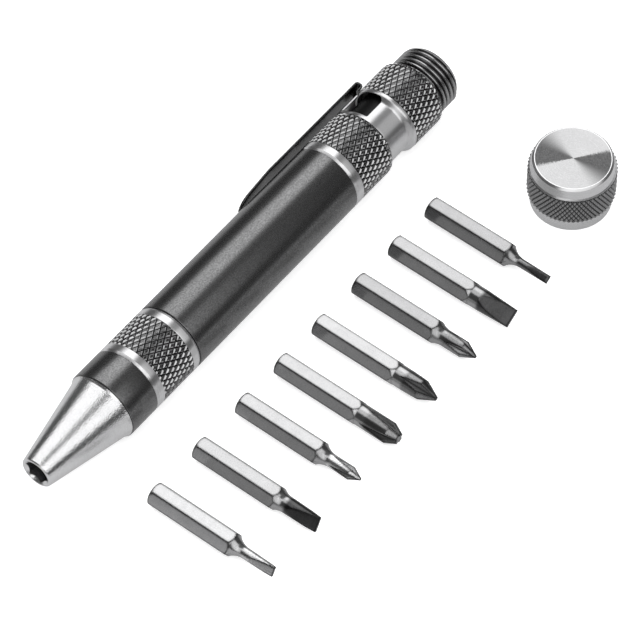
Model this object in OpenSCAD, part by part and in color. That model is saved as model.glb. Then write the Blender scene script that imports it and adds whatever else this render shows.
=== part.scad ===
// Pocket screwdriver with a pocket clip, a screw-off tail cap and loose hex bits.
// The driver lies along X, nose at the low end, on the ground plane Z = 0.
// The bits lie beside it on one of their flats, and the cap stands on its open end.

/* [Body] */
// Outer diameter of the collar, the grips and the barrel
body_d = 13.3; // [12.8:0.1:16]
// Outer diameter of the inner tube that carries the sleeves
tube_d = 10.5; // [10.2:0.1:11.2]
// Diameter of the bit store inside the tube
store_d = 9.2; // [8.8:0.1:9.5]
// Length of the front collar
collar_len = 6.32; // [3:0.01:12]
// Length of the barrel sleeve
barrel_len = 42.11; // [32:0.01:60]
// Gap between the ends of neighbouring sleeves
seam_gap = 0.08; // [0.02:0.01:0.2]
// Radial play of a sleeve on the tube
sleeve_play = 0.05; // [0.01:0.01:0.1]
// Edge break on the ends of the plain sleeves
edge_break = 0.1; // [0.05:0.01:0.3]

/* [Nose] */
// Length of the nose from its tip to its shoulder
nose_len = 16.86; // [14:0.01:25]
// Diameter of the nose at its tip
tip_d = 6.04; // [5.8:0.01:8]
// Edge break round the tip
tip_break = 0.18; // [0.05:0.01:0.3]
// Depth of the bevel round the shoulder
bevel_depth = 0.4; // [0.15:0.01:0.8]
// Length of that bevel
bevel_len = 0.85; // [0.3:0.05:2]
// Diameter of the spigot that goes into the tube
spigot_d = 8.4; // [7:0.1:8.6]
// Length of that spigot
spigot_len = 8; // [4:0.5:12]
// Width across flats of the hexagonal socket
socket_af = 4.12; // [4.1:0.01:4.3]
// Depth of the hexagonal socket
socket_depth = 12; // [8:0.5:14]
// Diameter of the socket's countersunk mouth
mouth_d = 5.1; // [4.9:0.05:5.4]
// Turn of the socket's corners about the axis
socket_turn = 12.5; // [0:0.5:60]
// Diameter of the magnet below the socket
magnet_d = 4; // [3:0.1:4]
// Thickness of the magnet
magnet_len = 3; // [1:0.5:4]

/* [Grips] */
// Length of a turned land beside a knurl
land_len = 1.81; // [0.8:0.01:3]
// Depth of the bevel on the outer edge of a land
land_bevel = 0.28; // [0.1:0.01:0.5]
// Length of the front knurl
front_knurl_len = 7.56; // [4:0.01:14]
// Length of the rear knurl
rear_knurl_len = 7.4; // [4:0.01:14]
// Length of the tail knurl
tail_knurl_len = 6.6; // [4:0.01:12]
// Length of the taper where a knurl runs out
runout_len = 1.2; // [0.5:0.05:2]
// Depth of that taper
runout_depth = 0.7; // [0.3:0.05:0.9]

/* [Clip] */
// Width of the clip collar along the barrel
ring_len = 6; // [5:0.1:9]
// Play of the clip collar along the barrel, each side
ring_gap = 0.12; // [0.08:0.01:0.3]
// Radial play of the clip collar on the tube
ring_play = 0.08; // [0.02:0.01:0.1]
// Thickness of the clip's sheet
sheet = 0.45; // [0.35:0.05:0.6]
// Height that the collar's tail flange and its bridge are raised by
flange_lift = 0.8; // [0.6:0.01:0.85]
// Length of the raised flange
flange_len = 0.6; // [0.4:0.05:1.2]
// Length of the rise to the flange
flange_rise = 1; // [0.6:0.1:2]
// Angle from the bridge's middle to the edge of a window
window_half = 74; // [50:1:88]
// Length of the collar kept in front of the windows
window_front = 0.65; // [0.4:0.05:1]
// Length of the collar kept behind the windows
window_back = 0.7; // [0.5:0.05:1.5]
// Width of the blade and of its bridge
blade_w = 4.8; // [3.5:0.1:6.5]
// Clear space between the blade and the grips
blade_lift = 0.83; // [0.6:0.01:2]
// Length of the blade from its fold to its tip
blade_len = 33.22; // [20:0.01:45]
// Length of the sloping front part of the blade
slope_len = 8.6; // [4:0.1:15]
// Clear space between the blade's tip and the barrel
tip_gap = 0.2; // [0.1:0.05:0.5]
// Length of the tongue that reaches over the tail knurl to the fold
tongue_len = 1.62; // [1:0.01:3]
// Clear space between the tongue and the tail knurl
tongue_gap = 0.07; // [0.05:0.01:0.15]
// Length of the slope from the blade down to the fold
fold_slope = 1.7; // [1.2:0.1:3]
// Length of the rounding at the fold's end
fold_round = 0.32; // [0.2:0.01:0.4]
// Gap where the blade leaves the fold
fold_seam = 0.08; // [0.06:0.01:0.12]
// Angle of the clip above the ground, seen along the barrel
clip_angle = 6; // [0:1:90]

/* [Tail thread and cap] */
// Outer diameter of the tail thread
thread_d = 11.9; // [11.4:0.05:12.4]
// Length of the tail thread
thread_len = 5.3; // [3:0.1:9]
// Bevel on the end of the thread
thread_bevel = 0.5; // [0.2:0.05:0.8]
// Height of the cap
cap_h = 10.91; // [10.5:0.01:16]
// Diameter of the cap over its knurl
cap_d = 15.4; // [14.8:0.1:18]
// Step from the knurl in to the rim below it
cap_rim_step = 0.6; // [0.2:0.05:0.8]
// Height of the rim below the knurl
cap_rim_h = 2.85; // [1:0.05:4]
// Height of the knurl's top edge above the rim's foot
cap_knurl_top = 8.6; // [6:0.05:9]
// Step from the knurl in to the band above it
cap_lip = 0.35; // [0.15:0.01:0.6]
// Amount that the band draws in towards its top
cap_taper = 0.35; // [0.1:0.01:0.8]
// Bevel round the top disc
cap_bevel = 0.35; // [0.15:0.01:0.8]
// Radial play of the cap on the thread
cap_play = 0.1; // [0.05:0.01:0.2]
// Depth of the cap's threaded bore
cap_thread_len = 5.6; // [4:0.1:8]
// Depth of the cap's whole hollow
cap_hollow = 9; // [8.2:0.1:9.8]

/* [Bit blanks] */
// Width across flats of a bit
bit_af = 4; // [3.9:0.01:4.05]
// Length of a bit
bit_len = 25; // [22:0.5:35]
// Rounding of a bit's butt end
butt_round = 0.85; // [0.3:0.05:1.2]
// Distance from the tip to the shoulder of a full bit
full_back = 9; // [8.2:0.1:12]
// Length of that shoulder
shoulder_len = 0.95; // [0.5:0.05:2]
// Distance from the tip to the shoulder of a necked bit
neck_back = 8.5; // [7.5:0.1:12]
// Radius of the hollow curve below a necked bit's shoulder
neck_curve = 3.4; // [2:0.1:5]

/* [Slotted bits] */
// Shaft diameter of the narrowest slotted bit
slot_a_shaft = 1.56; // [1.3:0.01:2]
// Blade width of the narrowest slotted bit
slot_a_tip = 1.5; // [1.2:0.01:2]
// Tip thickness of the narrowest slotted bit
slot_a_thick = 0.36; // [0.25:0.01:0.5]
// Length of the blade faces of the narrowest slotted bit
slot_a_face = 4.5; // [3:0.1:5.5]
// Turn of its blade from the ground
slot_a_turn = 120; // [0:1:180]
// Shaft diameter of the small slotted bit
slot_b_shaft = 2; // [1.7:0.01:2.4]
// Blade width of the small slotted bit
slot_b_tip = 1.86; // [1.5:0.01:2.4]
// Tip thickness of the small slotted bit
slot_b_thick = 0.4; // [0.3:0.01:0.6]
// Length of the blade faces of the small slotted bit
slot_b_face = 4.7; // [3:0.1:5.5]
// Turn of its blade from the ground
slot_b_turn = 150; // [0:1:180]
// Shaft diameter of the middle slotted bit
slot_c_shaft = 3; // [2.6:0.01:3.4]
// Blade width of the middle slotted bit
slot_c_tip = 2.8; // [2.4:0.01:3.4]
// Tip thickness of the middle slotted bit
slot_c_thick = 0.5; // [0.4:0.01:0.8]
// Length of the blade faces of the middle slotted bit
slot_c_face = 5.8; // [4:0.1:6.5]
// Turn of its blade from the ground
slot_c_turn = 150; // [0:1:180]
// Shaft diameter of the wide slotted bit
slot_d_shaft = 3.9; // [3.5:0.01:4]
// Blade width of the wide slotted bit
slot_d_tip = 3.4; // [3:0.01:3.9]
// Tip thickness of the wide slotted bit
slot_d_thick = 0.66; // [0.5:0.01:1]
// Length of the blade faces of the wide slotted bit
slot_d_face = 6.3; // [4:0.1:7]
// Turn of its blade from the ground
slot_d_turn = 120; // [0:1:180]

/* [Cross bits] */
// Half angle of a cross tip's cone
cross_half = 26.5; // [22:0.5:32]
// Half angle between the faces of a flute
flute_half = 46; // [45:0.5:50]
// Length of the flutes of a necked cross bit
flute_short = 6; // [4:0.1:7]
// Length of the flutes of a full cross bit
flute_long = 7; // [5:0.1:8]
// Shaft diameter of the finest cross bit
cross_a_shaft = 2.4; // [2:0.01:2.8]
// Point diameter of the finest cross bit
cross_a_point = 0.4; // [0.3:0.01:0.8]
// Diameter left between its flutes at the point
cross_a_core = 0.36; // [0.25:0.01:0.7]
// Turn of its flutes from the ground
cross_a_turn = 74; // [0:1:90]
// Shaft diameter of the small cross bit
cross_b_shaft = 3; // [2.6:0.01:3.4]
// Point diameter of the small cross bit
cross_b_point = 0.48; // [0.35:0.01:1]
// Diameter left between its flutes at the point
cross_b_core = 0.44; // [0.3:0.01:0.8]
// Turn of its flutes from the ground
cross_b_turn = 53; // [0:1:90]
// Shaft diameter of the middle cross bit
cross_c_shaft = 3.84; // [3.5:0.01:4]
// Point diameter of the middle cross bit
cross_c_point = 0.72; // [0.5:0.01:1.3]
// Diameter left between its flutes at the point
cross_c_core = 0.6; // [0.4:0.01:1.1]
// Turn of its flutes from the ground
cross_c_turn = 30; // [0:1:90]
// Shaft diameter of the wide cross bit
cross_d_shaft = 3.9; // [3.5:0.01:4]
// Point diameter of the wide cross bit
cross_d_point = 2; // [1.5:0.01:2.6]
// Diameter left between its flutes at the point
cross_d_core = 1.24; // [0.9:0.01:1.5]
// Turn of its flutes from the ground
cross_d_turn = 74; // [0:1:90]

/* [Layout beside the driver] */
// Distance of the bits' butt ends from the driver's axis
bit_row = 15.43; // [12:0.01:25]
// Position of the first bit along the driver
bit1_x = 85.75; // [82:0.01:90]
// Position of the second bit
bit2_x = 75.5; // [72:0.01:79]
// Position of the third bit
bit3_x = 65.45; // [62:0.01:69]
// Position of the fourth bit
bit4_x = 54.6; // [51:0.01:58]
// Position of the fifth bit
bit5_x = 44.4; // [41:0.01:48]
// Position of the sixth bit
bit6_x = 34.15; // [30:0.01:38]
// Position of the seventh bit
bit7_x = 22.83; // [19:0.01:27]
// Position of the eighth bit
bit8_x = 11.27; // [8:0.01:15]
// Position of the cap along the driver
cap_x = 103.49; // [99:0.01:115]
// Distance of the cap's axis from the driver's axis
cap_off = 32.11; // [24:0.01:45]

/* [Hidden] */
$fn = 96;
body_r = body_d / 2;
tube_r = tube_d / 2;
bore_r = store_d / 2;
sleeve_r = tube_r + sleeve_play;
axis_z = body_r;

// Stations along the driver
front_len = 2 * land_len + front_knurl_len;
rear_len = land_len + rear_knurl_len + runout_len;
tail_len = tail_knurl_len + runout_len;
collar_x = nose_len + seam_gap;
front_x = collar_x + collar_len + seam_gap;
barrel_x = front_x + front_len + seam_gap;
rear_x = barrel_x + barrel_len + seam_gap;
ring_x = rear_x + rear_len + ring_gap;
tail_x = ring_x + ring_len + ring_gap;
thread_x = tail_x + tail_len + seam_gap;
end_x = thread_x + thread_len;
spigot_x = nose_len + spigot_len + seam_gap;

// Clip levels, measured from the barrel's axis
ring_in = tube_r + ring_play;
ring_out = ring_in + sheet;
bridge_out = ring_out + flange_lift;
bridge_in = bridge_out - sheet;
blade_in = body_r + blade_lift;
blade_out = blade_in + sheet;
tongue_in = body_r + tongue_gap;
fold_mid = tongue_in + sheet;
tongue_out = fold_mid - fold_seam / 2;
leaf_in = fold_mid + fold_seam / 2;
leaf_out = fold_mid + sheet;
fold_x = ring_len + tongue_len;
slope_x = fold_x - fold_slope;
leaf_x = fold_x - fold_round - sheet / 4;
blade_x = fold_x - blade_len;
flange_x = ring_len - flange_len;
window_x = ring_len - window_back;

// Cap radii from its knurl up to its top disc
rim_r = cap_d / 2 - cap_rim_step;
band_r = cap_d / 2 - cap_lip;
neck_r = band_r - cap_taper;
disc_r = neck_r - cap_bevel;

// Corner radii of the hexagons
hex_r = bit_af / 2 / cos(30);
socket_r = socket_af / 2 / cos(30);

// The middle of the whole layout comes to the origin
high_y = max(body_r, blade_out * cos(clip_angle) + blade_w / 2 * sin(clip_angle));
low_y = -max(bit_row + bit_len, cap_off + cap_d / 2);
mid_x = max(end_x, cap_x + cap_d / 2) / 2;
mid_y = (high_y + low_y) / 2;

// Puts a piece drawn along Z onto the driver's axis, starting at station x
module on_axis(x) {
  translate([x - mid_x, -mid_y, axis_z])
    rotate([0, 90, 0])
      children();
}

// Turns an outline of [radius, length] points round the axis
module turned(points) {
  rotate_extrude()
    polygon(points);
}

// A sleeve on the tube with the given outer points from front to back
module sleeve(points, length) {
  turned(concat([[sleeve_r, 0]], points, [[sleeve_r, length]]));
}

module core_tube() {
  color("dimgray")
    on_axis(collar_x)
      turned([
        [spigot_d / 2 + sleeve_play, 0],
        [tube_r, 0],
        [tube_r, thread_x - collar_x],
        [thread_d / 2, thread_x - collar_x],
        [thread_d / 2, end_x - collar_x - thread_bevel],
        [thread_d / 2 - thread_bevel, end_x - collar_x],
        [bore_r, end_x - collar_x],
        [bore_r, spigot_x - collar_x],
        [spigot_d / 2 + sleeve_play, spigot_x - collar_x]
      ]);
}

module nose_cone() {
  color("gainsboro")
    on_axis(0)
      difference() {
        turned([
          [0, 0],
          [tip_d / 2 - tip_break, 0],
          [tip_d / 2, tip_break],
          [body_r - edge_break - bevel_depth, nose_len - bevel_len],
          [body_r - edge_break, nose_len],
          [spigot_d / 2, nose_len],
          [spigot_d / 2, nose_len + spigot_len],
          [0, nose_len + spigot_len]
        ]);
        rotate([0, 0, 90 - socket_turn])
          translate([0, 0, -1])
            cylinder(r = socket_r, h = socket_depth + 1, $fn = 6);
        turned([
          [0, -1],
          [mouth_d / 2 + 1, -1],
          [0, mouth_d / 2]
        ]);
        translate([0, 0, socket_depth - 1])
          cylinder(r = magnet_d / 2 + sleeve_play, h = magnet_len + 1);
      }
}

module socket_magnet() {
  color("silver")
    on_axis(socket_depth)
      cylinder(r = magnet_d / 2, h = magnet_len);
}

module front_collar() {
  color("dimgray")
    on_axis(collar_x)
      sleeve([
        [body_r - edge_break, 0],
        [body_r, edge_break],
        [body_r, collar_len - edge_break],
        [body_r - edge_break, collar_len]
      ], collar_len);
}

module front_grip() {
  color("silver")
    on_axis(front_x)
      sleeve([
        [body_r - land_bevel, 0],
        [body_r, land_bevel],
        [body_r, front_len - land_bevel],
        [body_r - land_bevel, front_len]
      ], front_len);
}

module barrel_sleeve() {
  color("dimgray")
    on_axis(barrel_x)
      sleeve([
        [body_r - edge_break, 0],
        [body_r, edge_break],
        [body_r, barrel_len - edge_break],
        [body_r - edge_break, barrel_len]
      ], barrel_len);
}

module rear_grip() {
  color("silver")
    on_axis(rear_x)
      sleeve([
        [body_r - land_bevel, 0],
        [body_r, land_bevel],
        [body_r, rear_len - runout_len],
        [body_r - runout_depth, rear_len]
      ], rear_len);
}

module tail_grip() {
  color("silver")
    on_axis(tail_x)
      sleeve([
        [body_r - edge_break, 0],
        [body_r, edge_break],
        [body_r, tail_len - runout_len],
        [body_r - runout_depth, tail_len]
      ], tail_len);
}

// Draws clip pieces with X along the barrel, Y outward through the blade and Z across it
module on_clip() {
  translate([ring_x - mid_x, -mid_y, axis_z])
    rotate([clip_angle, 0, 0])
      children();
}

// A block across the clip, from x0 to x1 along the barrel and from y0 to y1 outward
module across(x0, x1, y0, y1) {
  translate([x0, y0, -blade_w / 2])
    cube([x1 - x0, y1 - y0, blade_w]);
}

// The part of a ring turned round the barrel's axis that is as wide as the blade
module strip_turned(points) {
  intersection() {
    rotate([0, 90, 0])
      turned(points);
    across(-1, fold_x + 1, 0, 2 * body_r);
  }
}

// A point on the round end of one sheet of the fold, from its seam at 0 to its far side at 90 degrees
function fold_end(seam_r, far_r, angle) =
  [seam_r + (far_r - seam_r) * sin(angle), fold_x - fold_round * (1 - cos(angle))];

module clip_collar() {
  color("lightgray")
    on_clip()
      union() {
        difference() {
          rotate([0, 90, 0])
            turned([
              [ring_in, 0],
              [ring_out, 0],
              [ring_out, flange_x - flange_rise],
              [bridge_out, flange_x],
              [bridge_out, ring_len],
              [bridge_in, ring_len],
              [bridge_in, flange_x],
              [ring_in, flange_x - flange_rise]
            ]);
          translate([window_front, 0, 0])
            rotate([0, 90, 0])
              linear_extrude(height = window_x - window_front)
                polygon([
                  [0, 0],
                  [2 * body_r * sin(window_half), 2 * body_r * cos(window_half)],
                  [2 * body_r * sin(window_half), 2 * body_r],
                  [-2 * body_r * sin(window_half), 2 * body_r],
                  [-2 * body_r * sin(window_half), 2 * body_r * cos(window_half)]
                ]);
        }
        strip_turned([
          [ring_in + sheet / 2, 0],
          [bridge_out, 0],
          [bridge_out, window_front],
          [ring_in + sheet / 2, window_front]
        ]);
        strip_turned(concat(
          [[bridge_in, 0], [bridge_out, 0]],
          [[bridge_out, flange_x - sheet / 2], [tongue_out, ring_len - sheet / 2]],
          [for (angle = [0 : 15 : 90]) fold_end(tongue_out, tongue_in, angle)],
          [[tongue_in, ring_len], [bridge_in, ring_len]]
        ));
      }
}

module clip_blade() {
  color("lightgray")
    on_clip()
      union() {
        difference() {
          hull() {
            strip_turned(concat(
              [[leaf_in, leaf_x], [leaf_out, leaf_x]],
              [for (angle = [90 : -15 : 0]) fold_end(leaf_in, leaf_out, angle)]
            ));
            across(slope_x - sheet, slope_x, blade_in, blade_out);
          }
          rotate([0, 90, 0])
            cylinder(h = 2 * fold_x, r = leaf_in);
        }
        intersection() {
          translate([0, 0, -blade_w / 2])
            linear_extrude(height = blade_w)
              polygon([
                [slope_x, blade_in],
                [slope_x, blade_out],
                [blade_x + slope_len, blade_out],
                [blade_x, body_r + tip_gap + sheet],
                [blade_x, body_r + tip_gap],
                [blade_x + slope_len, blade_in]
              ]);
          translate([0, blade_out + 1, 0])
            rotate([90, 0, 0])
              linear_extrude(height = blade_out)
                union() {
                  translate([blade_x + blade_w / 2, 0])
                    circle(r = blade_w / 2);
                  translate([blade_x + blade_w / 2, -blade_w / 2])
                    square([blade_len, blade_w]);
                }
        }
      }
}

module tail_cap() {
  color("silver")
    translate([cap_x - mid_x, -cap_off - mid_y, 0])
      difference() {
        turned([
          [0, 0],
          [rim_r - edge_break, 0],
          [rim_r, edge_break],
          [rim_r, cap_rim_h],
          [cap_d / 2 - edge_break, cap_rim_h],
          [cap_d / 2, cap_rim_h + edge_break],
          [cap_d / 2, cap_knurl_top],
          [band_r, cap_knurl_top + cap_lip],
          [neck_r, cap_h - cap_bevel],
          [disc_r, cap_h],
          [0, cap_h]
        ]);
        translate([0, 0, -1])
          cylinder(r = thread_d / 2 + cap_play, h = cap_thread_len + 1);
        cylinder(r = bore_r, h = cap_hollow);
      }
}

// Lays a bit on a flat at station x, its tip away from the driver
module lay_bit(x) {
  translate([x - mid_x, -bit_row - mid_y, bit_af / 2])
    rotate([90, 0, 0])
      children();
}

// Half outline of a bit whose shaft is nearly as thick as its hexagon
module full_outline(shaft_r, point_r, point_len) {
  difference() {
    polygon([
      [0, 0],
      [hex_r, 0],
      [hex_r, bit_len - full_back],
      [shaft_r, bit_len - full_back + shoulder_len],
      [shaft_r, bit_len - point_len],
      [point_r, bit_len],
      [0, bit_len]
    ]);
    butt_corner();
  }
}

// Half outline of a bit that narrows to its shaft in a hollow curve
module necked_outline(shaft_r, point_r, point_len) {
  edge_r = hex_r - edge_break;
  neck_z = bit_len - neck_back + edge_break;
  curve_z = neck_z + sqrt(pow(neck_curve, 2) - pow(neck_curve - edge_r + shaft_r, 2));
  difference() {
    polygon([
      [0, 0],
      [hex_r, 0],
      [hex_r, bit_len - neck_back],
      [edge_r, neck_z],
      [edge_r, curve_z],
      [shaft_r, curve_z],
      [shaft_r, bit_len - point_len],
      [point_r, bit_len],
      [0, bit_len]
    ]);
    translate([shaft_r + neck_curve, curve_z])
      circle(r = neck_curve);
    butt_corner();
  }
}

// What a rounded butt end takes off the outline's corner
module butt_corner() {
  difference() {
    translate([hex_r - butt_round, -1])
      square([butt_round + 1, butt_round + 1]);
    translate([hex_r - butt_round, butt_round])
      circle(r = butt_round);
  }
}

// A hexagonal bar cut to the outline that follows
module hex_blank() {
  intersection() {
    cylinder(r = hex_r, h = bit_len, $fn = 6);
    rotate_extrude()
      children();
  }
}

// Takes both faces of a slotted blade off, square to the turn angle
module slotted_cut(shaft_d, thick, face_len, turn) {
  slope = atan((shaft_d - thick) / 2 / face_len);
  for (side = [0, 180])
    rotate([0, 0, turn + side])
      translate([thick / 2, 0, bit_len])
        rotate([0, -slope, 0])
          translate([0, -bit_af, -2 * face_len])
            cube([bit_af, 2 * bit_af, 3 * face_len]);
}

// Takes the four flutes of a cross tip off, one of them at the turn angle
module cross_cut(shaft_d, core_d, flute_len, turn) {
  slope = atan((shaft_d - core_d) / 2 / flute_len);
  for (quarter = [0, 90, 180, 270])
    rotate([0, 0, turn + quarter])
      translate([core_d / 2, 0, bit_len])
        rotate([0, -slope, 0])
          translate([0, 0, -2 * flute_len])
            linear_extrude(height = 3 * flute_len)
              polygon([
                [0, 0],
                [bit_af, bit_af * tan(flute_half)],
                [bit_af, -bit_af * tan(flute_half)]
              ]);
}

// Length of a cross tip's cone
function cone_len(shaft_d, point_d) = (shaft_d - point_d) / 2 / tan(cross_half);

module bit_slotted_1_5() {
  color("gainsboro")
    lay_bit(bit1_x)
      difference() {
        hex_blank()
          necked_outline(slot_a_shaft / 2, slot_a_tip / 2, slot_a_face);
        slotted_cut(slot_a_shaft, slot_a_thick, slot_a_face, slot_a_turn);
      }
}

module bit_slotted_4() {
  color("gainsboro")
    lay_bit(bit2_x)
      difference() {
        hex_blank()
          full_outline(slot_d_shaft / 2, slot_d_tip / 2, slot_d_face);
        slotted_cut(slot_d_shaft, slot_d_thick, slot_d_face, slot_d_turn);
      }
}

module bit_phillips_0() {
  color("gainsboro")
    lay_bit(bit3_x)
      difference() {
        hex_blank()
          necked_outline(cross_b_shaft / 2, cross_b_point / 2, cone_len(cross_b_shaft, cross_b_point));
        cross_cut(cross_b_shaft, cross_b_core, flute_short, cross_b_turn);
      }
}

module bit_phillips_1() {
  color("gainsboro")
    lay_bit(bit4_x)
      difference() {
        hex_blank()
          full_outline(cross_c_shaft / 2, cross_c_point / 2, cone_len(cross_c_shaft, cross_c_point));
        cross_cut(cross_c_shaft, cross_c_core, flute_long, cross_c_turn);
      }
}

module bit_phillips_2() {
  color("gainsboro")
    lay_bit(bit5_x)
      difference() {
        hex_blank()
          full_outline(cross_d_shaft / 2, cross_d_point / 2, cone_len(cross_d_shaft, cross_d_point));
        cross_cut(cross_d_shaft, cross_d_core, flute_long, cross_d_turn);
      }
}

module bit_phillips_00() {
  color("gainsboro")
    lay_bit(bit6_x)
      difference() {
        hex_blank()
          necked_outline(cross_a_shaft / 2, cross_a_point / 2, cone_len(cross_a_shaft, cross_a_point));
        cross_cut(cross_a_shaft, cross_a_core, flute_short, cross_a_turn);
      }
}

module bit_slotted_3() {
  color("gainsboro")
    lay_bit(bit7_x)
      difference() {
        hex_blank()
          necked_outline(slot_c_shaft / 2, slot_c_tip / 2, slot_c_face);
        slotted_cut(slot_c_shaft, slot_c_thick, slot_c_face, slot_c_turn);
      }
}

module bit_slotted_2() {
  color("gainsboro")
    lay_bit(bit8_x)
      difference() {
        hex_blank()
          necked_outline(slot_b_shaft / 2, slot_b_tip / 2, slot_b_face);
        slotted_cut(slot_b_shaft, slot_b_thick, slot_b_face, slot_b_turn);
      }
}

core_tube();
nose_cone();
socket_magnet();
front_collar();
front_grip();
barrel_sleeve();
rear_grip();
tail_grip();
clip_collar();
clip_blade();
tail_cap();
bit_slotted_1_5();
bit_slotted_4();
bit_phillips_0();
bit_phillips_1();
bit_phillips_2();
bit_phillips_00();
bit_slotted_3();
bit_slotted_2();
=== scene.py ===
import math

import bmesh
import bpy
import numpy as np
from mathutils import Matrix, Vector


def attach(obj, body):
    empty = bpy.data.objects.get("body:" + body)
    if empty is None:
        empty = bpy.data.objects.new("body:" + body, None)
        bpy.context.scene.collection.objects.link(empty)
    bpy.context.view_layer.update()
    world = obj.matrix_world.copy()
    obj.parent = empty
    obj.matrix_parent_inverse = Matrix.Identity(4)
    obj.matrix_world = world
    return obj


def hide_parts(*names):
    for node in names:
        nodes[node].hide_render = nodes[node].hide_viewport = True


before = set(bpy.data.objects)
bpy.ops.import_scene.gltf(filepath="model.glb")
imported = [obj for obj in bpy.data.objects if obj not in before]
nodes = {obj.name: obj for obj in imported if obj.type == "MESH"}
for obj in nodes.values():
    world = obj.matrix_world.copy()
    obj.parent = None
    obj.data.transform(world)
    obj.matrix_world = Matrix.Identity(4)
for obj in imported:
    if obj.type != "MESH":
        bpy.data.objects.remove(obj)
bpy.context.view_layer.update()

# Sizes in millimetres. On the driver, stations run from the nose's tip along X and radii from its axis
MID_X, MID_Y, AXIS_Z = 55.595, -16.146, 6.65
BODY_R, TUBE_R, STORE_R, SLEEVE_R = 6.65, 5.25, 4.6, 5.3
COLLAR = (16.94, 23.26)
FRONT = (23.34, 34.52)
BARREL = (34.60, 76.71)
REAR = (76.79, 87.20)
TAIL = (93.44, 101.24)
THREAD = (101.32, 106.62)
SLEEVE_EDGE = 0.1

# Nose, with its flare, its spigot in the tube and its hexagonal socket
NOSE_LEN, NOSE_BASE_R, NOSE_FLARE = 16.86, 6.55, (16.42, 6.24)
NOSE_RIM_R, NOSE_RIM_EDGE, NOSE_ROUND = 2.84, 0.18, 0.12
NOSE_BASE_EDGE = ((0.06, 0.03), (0.0, 0.09))
SPIGOT_R, SPIGOT_END, SPIGOT_BORE_R, SPIGOT_STEP = 4.2, 24.86, 4.25, 24.94
SOCKET_AF, SOCKET_MOUTH_R, SOCKET_DEPTH = 4.12, 2.55, 12.0
SOCKET_TURN = math.radians(12.5)

# Grips: lands with a bevel or a small edge, each as a length and a drop, and the knurls' pads
LAND, LAND_ROUND = 1.81, 0.08
BEVEL, SMALL_EDGE = (0.5, 0.22), (0.06, 0.06)
RUNOUT, RUNOUT_DEPTH = 1.2, 0.7
PAD_FLAT, UNDER_PADS = 0.42, 0.02
GRIP_DEPTH, GRIP_STARTS, GRIP_PER_MM = 0.28, 36, 0.49

# Tail thread, with a bevel at its end and a fade at its start
THREAD_R, THREAD_ROOT, THREAD_PITCH = 5.95, 5.38, 1.0
THREAD_BEVEL, THREAD_BEVEL_SLOPE = 1.1, 0.8
THREAD_PLAIN, THREAD_FADE = 0.1, 0.5
CREST_FLAT, CREST_SLOPE = 0.2, 0.72

# Clip, with stations from the front edge of its collar
RING_X, RING_LEN = 87.32, 6.0
CLIP_ANGLE = math.radians(6)
SHEET, SHEET_EDGE = 0.45, 0.2
RING_OUT, RING_ROUND = 5.78, 0.18
BRIDGE_OUT, BRIDGE_END, TONGUE_RISE = 6.58, 5.1, 0.85
BLADE_IN, BLADE_W, BLADE_TIP, BLADE_SLOPE, TIP_GAP = 7.48, 4.8, -25.6, 8.6, 0.2
WINDOW, WINDOW_CORNERS = (0.65, 5.3), (0.3, 0.8)
WINDOW_HALF = math.radians(82.5)
FLANGE = (4.6, 5.5)
FOLD_LOW, FOLD_HIGH, FOLD_END, FOLD_SEAM = 6.945, BLADE_IN + SHEET / 2, 7.62, 0.08

# Cap, with stations from the ground up
CAP_X, CAP_Y = 103.49, -32.11
CAP_TOP, CAP_R, CAP_RIM_R = 10.91, 7.7, 7.1
CAP_RIM, CAP_KNURL_TOP, CAP_NECK = 2.85, 8.6, 10.56
CAP_BAND_R, CAP_BAND_STEP, CAP_NECK_R = 7.35, 0.35, 7.0
CAP_BAND_IN, CAP_BAND_UNDER, CAP_BAND_INSET = 6.6, 0.05, 0.08
CAP_RIM_ROUND, CAP_BAND_ROUND, CAP_WALL = 0.12, 0.05, 0.3
CAP_EDGE_R, CAP_DISC_R = 6.65, 6.5
CAP_BORE_R, CAP_BORE, CAP_HOLLOW = 6.05, 5.6, 9.0
CAP_DEPTH, CAP_STARTS, CAP_PER_MM = 0.24, 60, 0.75

# Bits, from the tail to the nose, each with the greys of its shank and of its tip. The shank greys are
# painted shade, darker towards the tail where the light falls off, and the tip greys are painted reflection
BITS = {
    "bit_slotted_1_5": (0.33, 0.2),
    "bit_slotted_4": (0.37, 0.07),
    "bit_phillips_0": (0.34, 0.26),
    "bit_phillips_1": (0.42, 0.2),
    "bit_phillips_2": (0.41, 0.24),
    "bit_phillips_00": (0.41, 0.8),
    "bit_slotted_3": (0.4, 0.07),
    "bit_slotted_2": (0.45, 0.6),
}
TIP_LEN, BIT_EDGE, MAGNET_EDGE = 6.2, 0.06, 0.1
BIT_AF, BUTT_ROUND, SHOULDER, NECK_CURVE, EDGE_BREAK = 4.0, 0.85, 16.5, 3.4, 0.1

# Shaft widths of the bits whose shanks are covered, and how far the covers stand off the solids
COVERED = {"bit_slotted_1_5": 1.56, "bit_phillips_0": 3.0, "bit_phillips_00": 2.4, "bit_slotted_2": 2.0}
COVER, COVER_SHORT = 0.01, 0.5


# Places: each turns a station, a radius and an angle into a point in metres
def on_driver(a, r, th):
    return ((a - MID_X) / 1000, (r * math.cos(th) - MID_Y) / 1000, (AXIS_Z + r * math.sin(th)) / 1000)


def on_cap(a, r, th):
    return ((CAP_X + r * math.cos(th) - MID_X) / 1000, (CAP_Y + r * math.sin(th) - MID_Y) / 1000, a / 1000)


def on_clip(t, out, side):
    """A point by its station on the clip, its distance out through the blade and its distance across it."""
    y = out * math.cos(CLIP_ANGLE) - side * math.sin(CLIP_ANGLE)
    z = out * math.sin(CLIP_ANGLE) + side * math.cos(CLIP_ANGLE)
    return ((RING_X + t - MID_X) / 1000, (y - MID_Y) / 1000, (AXIS_Z + z) / 1000)


# Mesh makers
def ease(t):
    t = min(1.0, max(0.0, t))
    return t * t * (3 - 2 * t)


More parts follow.
